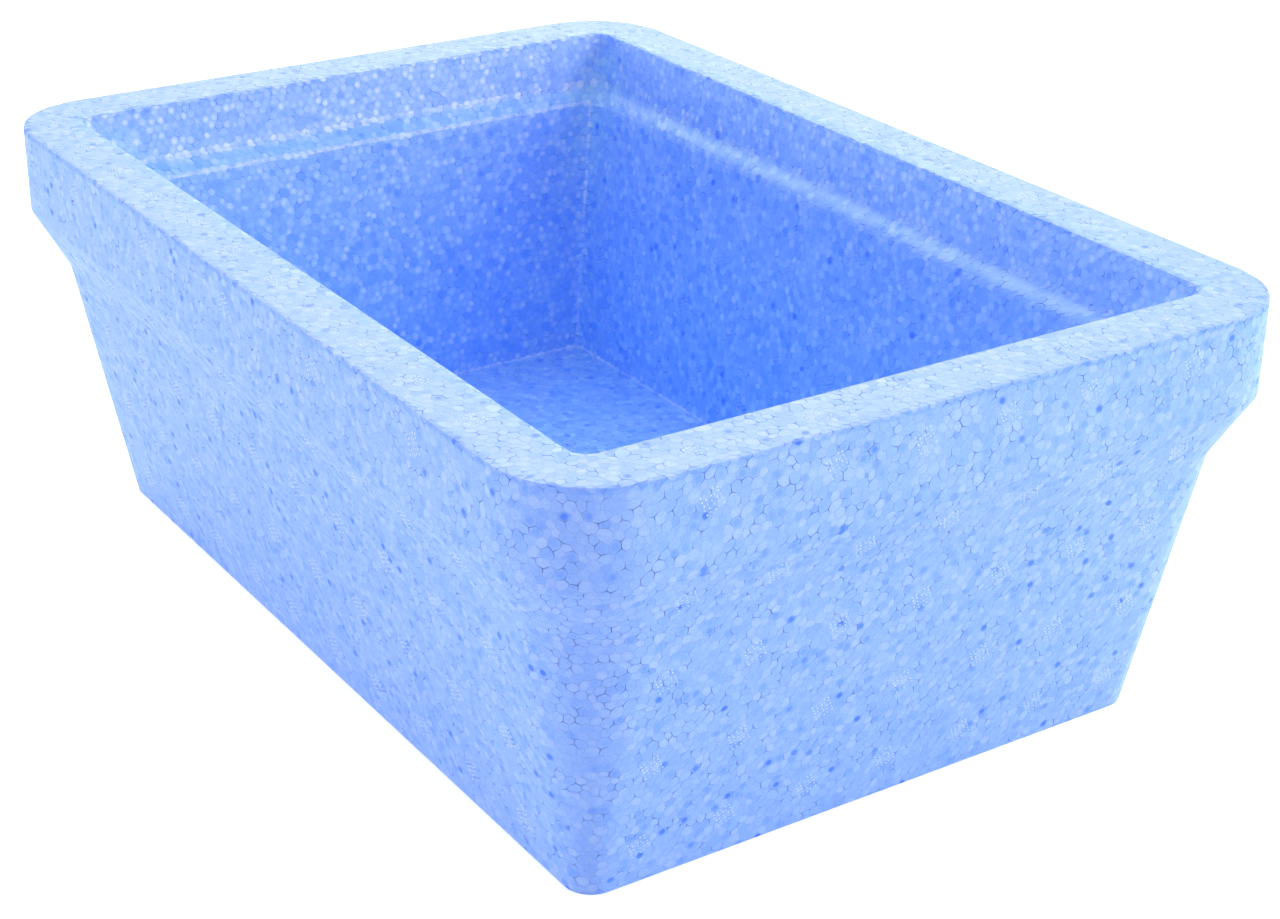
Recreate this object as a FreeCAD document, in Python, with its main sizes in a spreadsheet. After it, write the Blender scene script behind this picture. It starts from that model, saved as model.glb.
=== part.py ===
import FreeCAD, Part
import os
import Sketcher

# Ice pan: one open rectangular box, moulded in a single shot from fused foam beads.
# The outside is a drafted body under a thick rim band, joined by a slanted underside.
# The inside is a drafted well with a flat floor, and above it a wider seat for a lid,
# with a slanted shoulder between the two.
# Frame: origin at the middle of the underside, +X across the pan, +Y along it, +Z up.

# Driving sizes, in millimetres and degrees
SIZES = {
    # Outside
    "pan_width": 235.0,
    "pan_length": 336.0,
    "pan_height": 127.0,
    "band_height": 27.0,
    "underside_drop": 18.0,
    "rim_overhang": 9.2,
    "side_draft": 10.4,
    "end_draft": 11.5,
    "band_corner_radius": 27.3,
    "neck_corner_radius": 22.6,
    "foot_corner_radius": 8.2,
    # Inside
    "rim_width": 19.5,
    "seat_depth": 17.0,
    "seat_draft": 10.4,
    "shoulder_width": 6.5,
    "shoulder_drop": 4.6,
    "well_draft": 11.0,
    "floor_thickness": 20.8,
    "mouth_corner_radius": 5.0,
    "shoulder_corner_radius": 4.0,
    "floor_corner_radius": 3.0,
    # Softened edges
    "rim_edge_radius": 0.8,
    "lip_radius": 1.5,
    "band_edge_radius": 1.5,
    "neck_blend_radius": 5.0,
    "foot_edge_radius": 0.8,
    "seat_blend_radius": 3.0,
    "shoulder_lip_radius": 4.0,
    "floor_blend_radius": 2.0,
    # Witness marks of the mould on the underside
    "filler_radius": 11.0,
    "filler_depth": 0.6,
    "filler_spacing": 150.0,
    "ejector_radius": 8.0,
    "ejector_depth": 0.4,
    "ejector_spacing_across": 120.0,
    "ejector_spacing_along": 220.0,
}

# Levels above the underside, from the same sizes
RIM_LEVEL = "Sizes.pan_height"
BAND_LEVEL = "(Sizes.pan_height - Sizes.band_height)"
NECK_LEVEL = "(Sizes.pan_height - Sizes.band_height - Sizes.underside_drop)"
FOOT_LEVEL = "(0 * Sizes.pan_height)"
SEAT_LEVEL = "(Sizes.pan_height - Sizes.seat_depth)"
SHOULDER_LEVEL = "(Sizes.pan_height - Sizes.seat_depth - Sizes.shoulder_drop)"
FLOOR_LEVEL = "Sizes.floor_thickness"

# How far each outline lies inside the rim's outer outline
NECK_INSET = "Sizes.rim_overhang"
SIDE_FOOT_INSET = f"(Sizes.rim_overhang + {NECK_LEVEL} * tan(Sizes.side_draft))"
END_FOOT_INSET = f"(Sizes.rim_overhang + {NECK_LEVEL} * tan(Sizes.end_draft))"
SEAT_INSET = "(Sizes.rim_width + Sizes.seat_depth * tan(Sizes.seat_draft))"
SHOULDER_INSET = f"({SEAT_INSET} + Sizes.shoulder_width)"
FLOOR_INSET = f"({SHOULDER_INSET} + ({SHOULDER_LEVEL} - {FLOOR_LEVEL}) * tan(Sizes.well_draft))"

# Each outline: level, inset of the two long sides, inset of the two ends, corner radius
OUTSIDE = {
    "foot_outline": (FOOT_LEVEL, SIDE_FOOT_INSET, END_FOOT_INSET, "Sizes.foot_corner_radius"),
    "neck_outline": (NECK_LEVEL, NECK_INSET, NECK_INSET, "Sizes.neck_corner_radius"),
    "band_outline": (BAND_LEVEL, "0", "0", "Sizes.band_corner_radius"),
    "rim_outline": (RIM_LEVEL, "0", "0", "Sizes.band_corner_radius"),
}
INSIDE = {
    "floor_outline": (FLOOR_LEVEL, FLOOR_INSET, FLOOR_INSET, "Sizes.floor_corner_radius"),
    "shoulder_outline": (SHOULDER_LEVEL, SHOULDER_INSET, SHOULDER_INSET, "Sizes.shoulder_corner_radius"),
    "seat_outline": (SEAT_LEVEL, SEAT_INSET, SEAT_INSET, "Sizes.mouth_corner_radius"),
    "mouth_outline": (RIM_LEVEL, "Sizes.rim_width", "Sizes.rim_width", "Sizes.mouth_corner_radius"),
}

# The edges to soften: outline that the edge follows, radius
SOFTENED = {
    "rim_edge": ("rim_outline", "Sizes.rim_edge_radius"),
    "lip": ("mouth_outline", "Sizes.lip_radius"),
    "band_edge": ("band_outline", "Sizes.band_edge_radius"),
    "neck_blend": ("neck_outline", "Sizes.neck_blend_radius"),
    "foot_edge": ("foot_outline", "Sizes.foot_edge_radius"),
    "seat_blend": ("seat_outline", "Sizes.seat_blend_radius"),
    "shoulder_lip": ("shoulder_outline", "Sizes.shoulder_lip_radius"),
    "floor_blend": ("floor_outline", "Sizes.floor_blend_radius"),
}

MATCH = 0.02
ARC_SAMPLES = 9


def make_sheet(doc):
    """Keep every driving size in one spreadsheet, each under its own alias."""
    sheet = doc.addObject("Spreadsheet::Sheet", "Sizes")
    for row, (alias, size) in enumerate(SIZES.items(), start=1):
        sheet.set(f"A{row}", alias)
        sheet.set(f"B{row}", str(size))
        sheet.setAlias(f"B{row}", alias)
    doc.recompute()
    return sheet


def number(sheet, expression):
    """The plain number that an expression of the sheet's sizes gives."""
    result = sheet.evalExpression(expression)
    return float(getattr(result, "Value", result))


def half_sizes(side_inset, end_inset):
    """Half the width and half the length of an outline, as expressions."""
    return f"(Sizes.pan_width / 2 - {side_inset})", f"(Sizes.pan_length / 2 - {end_inset})"


def origin_plane(body, role):
    return next(part for part in body.Origin.OriginFeatures if part.Role == role)


def new_sketch(body, name, level):
    """A sketch parallel to the underside, at a level above it."""
    sketch = body.newObject("Sketcher::SketchObject", name)
    sketch.AttachmentSupport = [(origin_plane(body, "XY_Plane"), "")]
    sketch.MapMode = "FlatFace"
    sketch.setExpression("AttachmentOffset.Base.z", level)
    return sketch


def constrain(sketch, name, expression, *constraint):
    """Add a dimension to a sketch and tie it to the sheet."""
    index = sketch.addConstraint(Sketcher.Constraint(*constraint))
    sketch.renameConstraint(index, name)
    sketch.setExpression(f"Constraints.{name}", expression)


def rounded_rectangle(body, sheet, name, level, side_inset, end_inset, radius):
    """A rectangle about the origin with four equal round corners."""
    sketch = new_sketch(body, name, level)
    half_width, half_length = half_sizes(side_inset, end_inset)
    a, b, r = (number(sheet, size) for size in (half_width, half_length, radius))
    point = FreeCAD.Vector
    sides = [
        (point(r - a, -b), point(a - r, -b)),
        (point(a, r - b), point(a, b - r)),
        (point(a - r, b), point(r - a, b)),
        (point(-a, b - r), point(-a, r - b)),
    ]
    centres = [point(a - r, r - b), point(a - r, b - r), point(r - a, b - r), point(r - a, r - b)]
    for quarter, ((start, end), centre) in enumerate(zip(sides, centres)):
        sketch.addGeometry(Part.LineSegment(start, end))
        corner = Part.Circle(centre, point(0, 0, 1), r)
        first = (quarter - 1) * 90
        sweep = [FreeCAD.Units.Quantity(turn, "deg").getValueAs("rad").Value for turn in (first, first + 90)]
        sketch.addGeometry(Part.ArcOfCircle(corner, *sweep))
    for edge in range(8):
        sketch.addConstraint(Sketcher.Constraint("Tangent", edge, 2, (edge + 1) % 8, 1))
    for side, direction in ((0, "Horizontal"), (2, "Vertical"), (4, "Horizontal"), (6, "Vertical")):
        sketch.addConstraint(Sketcher.Constraint(direction, side))
    for corner in (3, 5, 7):
        sketch.addConstraint(Sketcher.Constraint("Equal", 1, corner))
    sketch.addConstraint(Sketcher.Constraint("Symmetric", 1, 3, 5, 3, -1, 1))
    constrain(sketch, "Corner", radius, "Radius", 1, r)
    constrain(sketch, "Width", f"2 * {half_width}", "DistanceX", 6, 1, 2, 1, 2 * a)
    constrain(sketch, "Length", f"2 * {half_length}", "DistanceY", 0, 1, 4, 1, 2 * b)
    return sketch


def straight_loft(body, kind, name, outlines):
    """Straight walls from each outline to the next one up."""
    loft = body.newObject(f"PartDesign::{kind}Loft", name)
    loft.Profile = outlines[0]
    loft.Sections = outlines[1:]
    loft.Ruled = True
    return loft


def edges_on(feature, sheet, outline):
    """Names of a feature's edges that run along one of the outlines."""
    level, side_inset, end_inset, _ = {**OUTSIDE, **INSIDE}[outline]
    half_width, half_length = half_sizes(side_inset, end_inset)
    height, a, b = (number(sheet, size) for size in (level, half_width, half_length))
    names = []
    for index, edge in enumerate(feature.Shape.Edges, start=1):
        points = edge.discretize(ARC_SAMPLES)
        across = max(abs(point.x) for point in points)
        along = max(abs(point.y) for point in points)
        flat = all(abs(point.z - height) < MATCH for point in points)
        if flat and (abs(across - a) < MATCH or abs(along - b) < MATCH):
            names.append(f"Edge{index}")
    return names


def soften(body, doc, sheet, name, outline, radius):
    """Round the edges that run along an outline."""
    base = body.Tip
    fillet = body.newObject("PartDesign::Fillet", name)
    fillet.Base = (base, edges_on(base, sheet, outline))
    fillet.setExpression("Radius", radius)
    doc.recompute()
    return fillet


def witness_marks(body, doc, name, centres, radius, depth):
    """Shallow round marks in the underside, where the mould's fillers or ejectors met it."""
    before = body.Shape.Volume
    sketch = new_sketch(body, f"{name}_circles", FOOT_LEVEL)
    for index, (across, along) in enumerate(centres):
        sketch.addGeometry(Part.Circle(FreeCAD.Vector(index * 40.0, 10.0), FreeCAD.Vector(0, 0, 1), 5.0))
        constrain(sketch, f"Radius{index}", radius, "Radius", index, 5.0)
        constrain(sketch, f"Across{index}", across, "DistanceX", -1, 1, index, 3, index * 40.0)
        constrain(sketch, f"Along{index}", along, "DistanceY", -1, 1, index, 3, 10.0)
    pocket = body.newObject("PartDesign::Pocket", name)
    pocket.Profile = sketch
    pocket.Reversed = True
    pocket.setExpression("Length", depth)
    doc.recompute()
    if body.Shape.Volume >= before:
        raise RuntimeError(f"{name} cuts nothing")
    return pocket


def pan_body(doc, sheet):
    """The pan itself, which is one moulding."""
    body = doc.addObject("PartDesign::Body", "pan_body")
    body.Label = "pan_body"
    body.Placement = FreeCAD.Placement()

    outside = [rounded_rectangle(body, sheet, name, *outline) for name, outline in OUTSIDE.items()]
    straight_loft(body, "Additive", "outer_form", outside)
    doc.recompute()
    solid_volume = body.Shape.Volume

    inside = [rounded_rectangle(body, sheet, name, *outline) for name, outline in INSIDE.items()]
    straight_loft(body, "Subtractive", "well_and_seat", inside)
    doc.recompute()
    capacity = solid_volume - body.Shape.Volume
    print(f"brim capacity {capacity / 1e6:.2f} litres")

    for name, (outline, radius) in SOFTENED.items():
        soften(body, doc, sheet, name, outline, radius)

    half_filler = "Sizes.filler_spacing / 2"
    filler_centres = [("0 * " + half_filler, sign + half_filler) for sign in ("-", "")]
    witness_marks(body, doc, "filler_marks", filler_centres, "Sizes.filler_radius", "Sizes.filler_depth")

    half_across = "Sizes.ejector_spacing_across / 2"
    half_along = "Sizes.ejector_spacing_along / 2"
    ejector_centres = [(i + half_across, j + half_along) for i in ("-", "") for j in ("-", "")]
    witness_marks(body, doc, "ejector_marks", ejector_centres, "Sizes.ejector_radius", "Sizes.ejector_depth")
    return body


def check(doc, parts):
    """Stop if any object of the document failed or any piece is not a sound solid."""
    for item in doc.Objects:
        if {"Invalid", "Error"} & set(item.State):
            raise RuntimeError(f"{item.Name} failed: {item.State}")
    for part in parts:
        if part.Shape.isNull() or not part.Shape.isValid() or len(part.Shape.Solids) != 1:
            raise RuntimeError(f"{part.Label} is not one sound solid")


def main():
    doc = FreeCAD.newDocument("ice_pan")
    sheet = make_sheet(doc)
    parts = [pan_body(doc, sheet)]
    doc.recompute()
    check(doc, parts)
    os.makedirs("parts", exist_ok=True)
    for part in parts:
        box = part.Shape.BoundBox
        part.Shape.exportStep(f"parts/{part.Label}.step")
        print(f"{part.Label}: {part.Shape.Volume / 1e3:.0f} cm3,", end=" ")
        print(f"box {box.XLength:.2f} x {box.YLength:.2f} x {box.ZLength:.2f} mm")


main()
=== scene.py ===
# %% [markdown]
# # An ice pan moulded from foam beads
# The real pan is one body of fused foam beads, pale blue, open at the top, with a deep rim.
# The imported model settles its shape, so this script gives it its skin: thousands of flat-faced
# beads that meet in hairline joints, and the small round prints of the mould's vents.
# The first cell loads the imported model, which stays as it is and tells where every surface lies.

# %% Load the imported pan
import math
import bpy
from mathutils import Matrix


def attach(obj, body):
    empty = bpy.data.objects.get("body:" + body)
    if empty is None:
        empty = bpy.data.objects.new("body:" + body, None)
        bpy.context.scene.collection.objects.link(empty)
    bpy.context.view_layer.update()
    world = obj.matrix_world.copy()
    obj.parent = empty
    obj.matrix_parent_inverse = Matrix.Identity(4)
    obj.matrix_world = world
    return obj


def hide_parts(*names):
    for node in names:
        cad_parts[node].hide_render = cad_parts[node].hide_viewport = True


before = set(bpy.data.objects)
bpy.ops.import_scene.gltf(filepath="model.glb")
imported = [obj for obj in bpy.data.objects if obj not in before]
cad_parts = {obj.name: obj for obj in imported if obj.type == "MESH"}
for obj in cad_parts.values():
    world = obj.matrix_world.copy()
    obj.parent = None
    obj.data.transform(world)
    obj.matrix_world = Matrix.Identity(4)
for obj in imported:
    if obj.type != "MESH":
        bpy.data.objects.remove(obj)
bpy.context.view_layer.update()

from types import SimpleNamespace

import bpy
import numpy as np
from mathutils import Matrix, Vector
from mathutils.geometry import delaunay_2d_cdt

MM = 0.001
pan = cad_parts["pan_body"]

# %% [markdown]
# ## The pan's outlines
# Every wall of the pan runs straight between two level outlines, rectangles with round corners. A
# moulder draws them as insets from the widest one, and so does this cell, in millimetres. They run
# in the order of the profile: up the outside, over the rim and down into the well.

# %% The eight outlines
pan_width, pan_length, pan_height = 235.0, 336.0, 127.0
band_height, underside_drop, rim_overhang, rim_width = 27.0, 18.0, 9.2, 19.5
seat_depth, shoulder_width, shoulder_drop, floor_thickness = 17.0, 6.5, 4.6, 20.8
side_draft, end_draft, seat_draft, well_draft = 10.4, 11.5, 10.4, 11.0


def outline(level, side_inset, end_inset, corner_radius):
    """Half width, half length, corner radius and level of one rounded rectangle."""
    return np.array([pan_width / 2 - side_inset, pan_length / 2 - end_inset, corner_radius, level])


def lean(rise, draft):
    """How far a wall with that draft leans over a rise."""
    return rise * math.tan(math.radians(draft))


band_level = pan_height - band_height
neck_level = band_level - underside_drop
seat_level = pan_height - seat_depth
shoulder_level = seat_level - shoulder_drop
seat_inset = rim_width + lean(seat_depth, seat_draft)
shoulder_inset = seat_inset + shoulder_width
floor_inset = shoulder_inset + lean(shoulder_level - floor_thickness, well_draft)
OUTLINES = {
    "foot": outline(0, rim_overhang + lean(neck_level, side_draft),
                    rim_overhang + lean(neck_level, end_draft), 8.2),
    "neck": outline(neck_level, rim_overhang, rim_overhang, 22.6),
    "band": outline(band_level, 0, 0, 27.3),
    "rim": outline(pan_height, 0, 0, 27.3),
    "mouth": outline(pan_height, rim_width, rim_width, 5.0),
    "seat": outline(seat_level, seat_inset, seat_inset, 5.0),
    "shoulder": outline(shoulder_level, shoulder_inset, shoulder_inset, 4.0),
    "floor": outline(floor_thickness, floor_inset, floor_inset, 3.0),
}
for name, line in OUTLINES.items():
    print(f"{name:9} {2 * line[0]:7.2f} x {2 * line[1]:7.2f} mm,",
          f"corner {line[2]:5.2f}, level {line[3]:6.2f}")


# %% [markdown]
# ## Going round an outline
# Beads are laid along an outline as shares of its length, from the middle of the +X side and
# anticlockwise. Shares make the rows of two outlines line up at every side and corner, so a net
# drawn between them isn't twisted.

# %% Points on an outline
def girth(line):
    """Length of an outline."""
    return 4 * (line[..., 0] + line[..., 1]) - (8 - 2 * math.pi) * line[..., 2]


def on_outline(share, line):
    """Points at shares of the way round; each point may have an outline of its own."""
    share = np.atleast_1d(share) % 1.0
    half_x, half_y, corner, level = np.broadcast_to(line, (len(share), 4)).T
    run_x, run_y, turn = half_x - corner, half_y - corner, corner * math.pi / 2
    parts = np.stack([run_y, turn, 2 * run_x, turn, 2 * run_y, turn, 2 * run_x, turn, run_y])
    starts = np.vstack([np.zeros(len(share)), np.cumsum(parts, axis=0)])
    way = share * starts[-1]
    part = np.clip((way >= starts[1:]).sum(axis=0), 0, 8)
    gone = way - starts[part, np.arange(len(share))]
    angle = gone / corner + (part // 2) * math.pi / 2
    centre_x = run_x * np.array([1, 1, 1, -1, -1, -1, -1, 1, 1])[part]
    centre_y = run_y * np.array([1, 1, 1, 1, 1, -1, -1, -1, -1])[part]
    x = centre_x + corner * np.cos(angle)
    y = centre_y + corner * np.sin(angle)
    straight = [part == k for k in (0, 8, 4, 2, 6)]
    x = np.select(straight, [half_x, half_x, -half_x, run_x - gone, gone - run_x], x)
    y = np.select(straight, [gone, gone - run_y, run_y - gone, half_y, -half_y], y)
    return np.stack([x, y, level], axis=1)


print("girth of the rim:", round(float(girth(OUTLINES["rim"])), 1), "mm")

# %% [markdown]
# ## Where the beads sit
# On the real pan each bead shows as a flat patch with five to seven sides, about 3 mm across. Such
# patches are what Geometry Nodes' Dual Mesh makes from a net of triangles, one round each corner of
# the net. So this step lays only the middles of the beads, unevenly, and joins them into a net. A
# cell texture would only paint the joints on, and wouldn't wrap a bead round an edge of the rim.
# A bead on an edge of the pan belongs to both walls, so the two walls share its middle.

# %% Beads along the edges
# The pitch is in millimetres. How far a bead strays from its place is a share of the pitch.
bead_pitch = 2.85
row_step = 0.866
stray = 0.36
edge_stray = 0.2
chance = np.random.default_rng(11)
bead_count = 0


def new_beads(count):
    """Numbers for that many new beads."""
    global bead_count
    bead_count += count
    return np.arange(bead_count - count, bead_count)


def uneven(count, amount):
    """That many small random shifts."""
    return amount * chance.uniform(-1, 1, count)


edge_beads = {}
for name, line in OUTLINES.items():
    count = round(girth(line) / bead_pitch)
    edge_beads[name] = ((np.arange(count) + uneven(count, edge_stray)) / count, new_beads(count))
print("beads along the edges:", bead_count)


# %% [markdown]
# ## Nets on the walls and on the flat faces
# A wall is unrolled into a flat strip, its beads are joined there, and the strip is closed again.
# A flat face is joined as it lies. Delaunay's rule gives the fattest triangles, which is also how
# real beads of one size meet.

# %% Joining beads into triangles
patches = []
same_place = 1e-6


def joined(points, edges):
    """Triangles between flat points, all anticlockwise, as numbers of the points."""
    _, _, faces, origins, _, _ = delaunay_2d_cdt(
        [Vector(p) for p in points.tolist()], edges, [], 0, same_place)
    first = np.array([o[0] for o in origins])
    triangles = first[np.array(faces)]
    one, two, three = (points[triangles[:, k]] for k in range(3))
    turn = np.cross(two - one, three - one)
    triangles[turn < 0] = triangles[turn < 0][:, ::-1]
    return triangles[np.abs(turn) > same_place]


def keep_patch(spots, triangles, beads, panel, loose=0.0, glazed=0.0):
    """Keeps one net, with the number, panel, roundness and share of painted glint and gloss of each of its
    beads.
    """
    count = len(spots)
    patches.append({"spots": spots, "triangles": triangles, "bead": beads, "panel": np.full(count, panel),
                    "loose": loose + np.zeros(count), "glazed": glazed + np.zeros(count)})


# %% Beads and triangles of a wall
overlap_beads = 5


def beads_on_wall(low, high, rows):
    """For each bead on a wall its share of the way round, its share of the way across and its number."""
    near, far = OUTLINES[low], OUTLINES[high]
    shares, beads = [edge_beads[low][0]], [edge_beads[low][1]]
    steps = [np.zeros(len(beads[0]))]
    for row in range(1, rows):
        count = round(float(girth(near + (far - near) * row / rows)) / bead_pitch)
        shares.append((np.arange(count) + chance.random() + uneven(count, stray)) / count % 1.0)
        steps.append((row + uneven(count, stray)) / rows)
        beads.append(new_beads(count))
    shares.append(edge_beads[high][0])
    beads.append(edge_beads[high][1])
    steps.append(np.ones(len(beads[-1])))
    return np.concatenate(shares) % 1.0, np.concatenate(steps), np.concatenate(beads)


def wall_triangles(share, step, length, run):
    """Joins the beads of an unrolled wall, whose two ends overlap by a few beads so that it closes."""
    margin = overlap_beads * bead_pitch / length
    last, first = np.flatnonzero(share > 1 - margin), np.flatnonzero(share < margin)
    numbers = np.concatenate([np.arange(len(share)), last, first])
    unrolled = np.concatenate([share, share[last] - 1, share[first] + 1]) * length
    strip = np.stack([unrolled, step[numbers] * run], axis=1)
    triangles = joined(strip, [])
    middle = strip[triangles, 0].mean(axis=1)
    return numbers[triangles[(middle >= 0) & (middle < length)]]


# %% [markdown]
# ## Round beads and painted glints on the edges
# The inner ends of the pan show rounder beads than its sides. Along the inner edges and corners the skin
# is glossier and gets painted highlights, thin white glint lines. Both are stored with the beads as
# shares:
# roundness, and painted glint with gloss. The glint dies away within about one bead of its edge.

# %% The net of one wall
side_roundness = 0.4
floor_edge_glint_gloss = 0.7
corner_reach = 0.7


def wall_net(low, high, panel, round_beads=0.0, low_glint_gloss=0.0, high_glint_gloss=0.0, corner_glint_gloss=0.0):
    """Beads on the wall that runs straight from one outline to the next."""
    near, far = OUTLINES[low], OUTLINES[high]
    run = float(np.hypot(far[0] - near[0], far[3] - near[3]))
    share, step, beads = beads_on_wall(low, high, max(2, round(run / (bead_pitch * row_step))))
    line = near + (far - near) * step[:, None]
    spots = on_outline(share, line)
    triangles = wall_triangles(share, step, float(girth((near + far) / 2)), run)
    to_end, to_side = line[:, 1] - np.abs(spots[:, 1]), line[:, 0] - np.abs(spots[:, 0])
    on_end = to_end < to_side
    in_corner = np.hypot(to_end, to_side) < corner_reach * line[:, 2]
    by_low, by_high = np.exp(-step * run / bead_pitch), np.exp(-(1 - step) * run / bead_pitch)
    # The glint share says where the painted white highlight goes and where the skin is glossier.
    end_glint_gloss = np.maximum(low_glint_gloss * by_low, high_glint_gloss * by_high)
    side_glint_gloss = floor_edge_glint_gloss * (high == "floor") * by_high
    bead_glint_gloss = np.maximum(np.where(on_end, end_glint_gloss, side_glint_gloss), corner_glint_gloss * in_corner)
    keep_patch(spots, triangles, beads, panel, round_beads * np.where(on_end, 1.0, side_roundness), bead_glint_gloss)


UNDERSIDE, OUTER_WALL, BAND, RIM_TOP, WELL_WALL, FLOOR = range(6)
wall_net("foot", "neck", OUTER_WALL)
wall_net("neck", "band", BAND)
wall_net("band", "rim", BAND)
wall_net("mouth", "seat", RIM_TOP, round_beads=1.0, low_glint_gloss=0.25, high_glint_gloss=1.0, corner_glint_gloss=0.35)
wall_net("seat", "shoulder", RIM_TOP, round_beads=0.4, low_glint_gloss=0.8, high_glint_gloss=0.5)
wall_net("shoulder", "floor", WELL_WALL, round_beads=0.8, low_glint_gloss=0.8, high_glint_gloss=0.7,
         corner_glint_gloss=0.85)
print("beads so far:", bead_count)


# %% [markdown]
# ## The flat faces
# The rim's top, the well's floor and the underside are flat. The underside also carries the marks
# that the mould leaves: two round filler marks and four ejector marks, each sunk by about half a
# millimetre, so their rims are edges too and the step between the two levels gets beads of its own.

# %% The net of one flat face
def depth_inside(points, name):
    """How far inside an outline each flat point lies, below zero outside it."""
    line = OUTLINES[name]
    over = np.abs(points) - (line[:2] - line[2])
    outside = np.hypot(*np.maximum(over, 0).T)
    return line[2] - outside - np.minimum(over.max(axis=1), 0)


edge_clearance = 0.62


def flat_net(loops, inside, level, panel, loose=0.0, facing_up=True):
    """Beads on a flat face; loops are its edges, inside gives the distance in from the nearest edge."""
    rim = np.vstack([loop for loop, _ in loops])
    lows, highs = rim.min(axis=0), rim.max(axis=0)
    rows = np.arange(lows[1], highs[1], bead_pitch * row_step)
    grid_x, grid_y = np.meshgrid(np.arange(lows[0], highs[0], bead_pitch), rows)
    grid_x = grid_x + (np.arange(len(rows)) % 2)[:, None] * bead_pitch / 2
    field = np.stack([grid_x.ravel(), grid_y.ravel()], axis=1)
    field += bead_pitch * stray * chance.uniform(-1, 1, field.shape)
    field = field[inside(field) > edge_clearance * bead_pitch]
    points = np.vstack([rim, field])
    beads = np.concatenate([b for _, b in loops] + [new_beads(len(field))])
    edges, start = [], 0
    for loop, _ in loops:
        edges += [(start + k, start + (k + 1) % len(loop)) for k in range(len(loop))]
        start += len(loop)
    triangles = joined(points, edges)
    triangles = triangles[inside(points[triangles].mean(axis=1)) > 0]
    if not facing_up:
        triangles = triangles[:, ::-1]
    keep_patch(np.column_stack([points, np.full(len(points), level)]), triangles, beads, panel, loose)


def edge_loop(name):
    share, beads = edge_beads[name]
    return on_outline(share, OUTLINES[name])[:, :2], beads


# %% The rim's top and the well's floor
flat_net([edge_loop("rim"), edge_loop("mouth")],
         lambda p: np.minimum(depth_inside(p, "rim"), -depth_inside(p, "mouth")),
         pan_height, RIM_TOP, loose=0.2)
flat_net([edge_loop("floor")], lambda p: depth_inside(p, "floor"),
         floor_thickness, FLOOR, loose=0.45)
print("beads so far:", bead_count)

# %% The underside and its moulding marks
filler_place, filler_radius, filler_depth = 75.0, 11.0, 0.6
ejector_across, ejector_along, ejector_radius, ejector_depth = 60.0, 110.0, 8.0, 0.4
mould_marks = [(0.0, side * filler_place, filler_radius, filler_depth) for side in (1, -1)]
mould_marks += [(across * ejector_across, along * ejector_along, ejector_radius, ejector_depth)
                for across in (1, -1) for along in (1, -1)]
mark_loops = []
for x, y, radius, depth in mould_marks:
    count = round(2 * math.pi * radius / bead_pitch)
    angle = 2 * math.pi * np.arange(count) / count
    ring = np.stack([x + radius * np.cos(angle), y + radius * np.sin(angle)], axis=1)
    mark_loops.append((ring, new_beads(count)))


def clear_of_marks(points):
    """How far each flat point is from the nearest mark, below zero in a mark."""
    return np.min([np.hypot(*(points - (x, y)).T) - radius for x, y, radius, _ in mould_marks], axis=0)


flat_net([edge_loop("foot")] + mark_loops,
         lambda p: np.minimum(depth_inside(p, "foot"), clear_of_marks(p)),
         0.0, UNDERSIDE, facing_up=False)
for (x, y, radius, depth), (ring, beads) in zip(mould_marks, mark_loops):
    flat_net([(ring, beads)], lambda p: radius - np.hypot(p[:, 0] - x, p[:, 1] - y),
             depth, UNDERSIDE, facing_up=False)
    count = len(ring)
    step = np.column_stack([np.vstack([ring, ring]), np.repeat([0.0, depth], count)])
    here, there = np.arange(count), (np.arange(count) + 1) % count
    sides = np.vstack([np.stack([here, there + count, there], 1),
                       np.stack([here, here + count, there + count], 1)])
    keep_patch(step, sides, np.concatenate([beads, beads]), UNDERSIDE)
print("beads in all:", bead_count)


# %% [markdown]
# ## One net for the whole pan
# The patches go into one mesh. They aren't joined along the pan's edges yet: Dual Mesh keeps an
# open edge where it is, and that is what keeps the edges of the pan crisp.
# Each corner of the net carries the number of its bead and the panel that it belongs to.

# %% Put the patches into one mesh
def show(name, mesh):
    """An object at the origin for a mesh."""
    made = bpy.data.objects.new(name, mesh)
    bpy.context.scene.collection.objects.link(made)
    return made


starts = np.cumsum([0] + [len(p["spots"]) for p in patches])
net = bpy.data.meshes.new("bead_net")
net.from_pydata((np.vstack([p["spots"] for p in patches]) * MM).tolist(), [],
                np.vstack([p["triangles"] + s for p, s in zip(patches, starts)]).tolist())
for label, kind in (("bead", "INT"), ("panel", "INT"), ("loose", "FLOAT"), ("glazed", "FLOAT")):
    values = np.concatenate([p[label] for p in patches])
    net.attributes.new(label, kind, "POINT").data.foreach_set("value", values)
bead_net = show("bead_net", net)
print("net:", len(net.vertices), "middles,", len(net.polygons), "triangles")


# %% [markdown]
# ## Short ways to wire nodes
# The node trees and the material are built in the script. These helpers keep that readable: they
# add a node and wire its sockets, start and end a tree, and run a tree on a mesh and keep the result
# as a plain mesh. In the material a share is 1 where something is and 0 where it isn't.

# %% Helpers for node trees
def add(tree, kind, wires=None, **settings):
    """Adds a node; wires gives a link or a plain value for each named or numbered socket."""
    made = tree.nodes.new(kind)
    for key, value in settings.items():
        setattr(made, key, value)
    for key, value in (wires or {}).items():
        if isinstance(value, bpy.types.NodeSocket):
            tree.links.new(value, made.inputs[key])
        else:
            made.inputs[key].default_value = value
    return made


def geo(tree, kind, wires=None, out=0, **settings):
    """One output of a new geometry node."""
    return add(tree, "GeometryNode" + kind, wires, **settings).outputs[out]


def maths(tree, operation, *values):
    return add(tree, "ShaderNodeMath", dict(enumerate(values)), operation=operation).outputs[0]


def times(tree, *shares):
    """The product of some shares."""
    product = shares[0]
    for share in shares[1:]:
        product = maths(tree, "MULTIPLY", product, share)
    return product


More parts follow.
